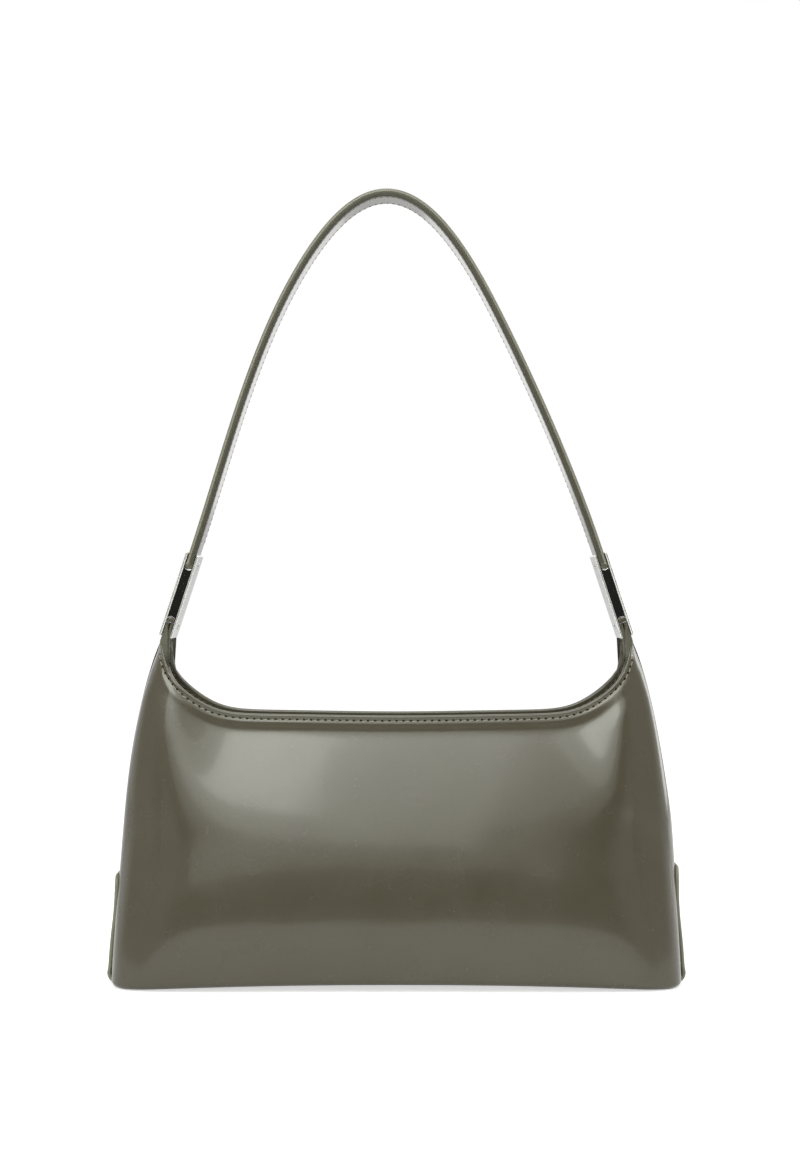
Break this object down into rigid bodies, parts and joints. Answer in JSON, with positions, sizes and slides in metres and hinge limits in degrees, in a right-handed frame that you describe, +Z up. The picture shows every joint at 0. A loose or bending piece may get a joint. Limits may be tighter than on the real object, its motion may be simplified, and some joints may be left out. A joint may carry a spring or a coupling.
{
  "type": "shoulder bag",
  "caption": "Small smooth leather shoulder bag with a scooped open rim, leather end patches and an arched strap held by polished metal links, which folds down to either side.",
  "frame": {"origin": "on the resting surface, under the middle of the bag", "axes": "+X to the bag's right side seam as seen from the front, +Y to its back, +Z up through the strap's top"},
  "size_m": [0.279, 0.0778, 0.3836],
  "materials": {
    "calf_leather": "smooth olive grey calf leather with a soft gloss",
    "facing_leather": "smooth olive grey leather, a little duller than the outside",
    "edge_paint": "dark painted leather edge",
    "stitching": "waxed thread, a shade lighter than the leather",
    "lining_fabric": "fine cotton twill in the leather's shade",
    "stay_tape": "bonded reinforcing tape",
    "stiffener_board": "leather fibre board",
    "polished_metal": "polished nickel plate",
    "snap_metal": "satin nickel plate"
  },
  "bodies": {
    "bag": {"front_panel": "calf_leather", "back_panel": "calf_leather", "left_side_welt": "edge_paint", "right_side_welt": "edge_paint", "base_panel": "calf_leather", "base_board": "stiffener_board", "left_end_patch": "calf_leather", "right_end_patch": "calf_leather", "front_facing": "facing_leather", "back_facing": "facing_leather", "front_stay": "stay_tape", "back_stay": "stay_tape", "lining": "lining_fabric", "slip_pocket": "lining_fabric", "snap_socket": "snap_metal", "snap_stud": "snap_metal", "snap_plates": "snap_metal"},
    "handle": {"left_tab": "calf_leather", "right_tab": "calf_leather", "left_link": "polished_metal", "right_link": "polished_metal", "link_screws": "polished_metal", "strap_outer": "calf_leather", "strap_core": "stiffener_board", "strap_inner": "calf_leather"}
  },
  "joints": [
    {"name": "strap_fold", "type": "hinge", "parent": "bag", "child": "handle", "pos_m": [0, 0, 0.163], "axis": [1, 0, 0], "range_deg": [-90, 90]}
  ]
}
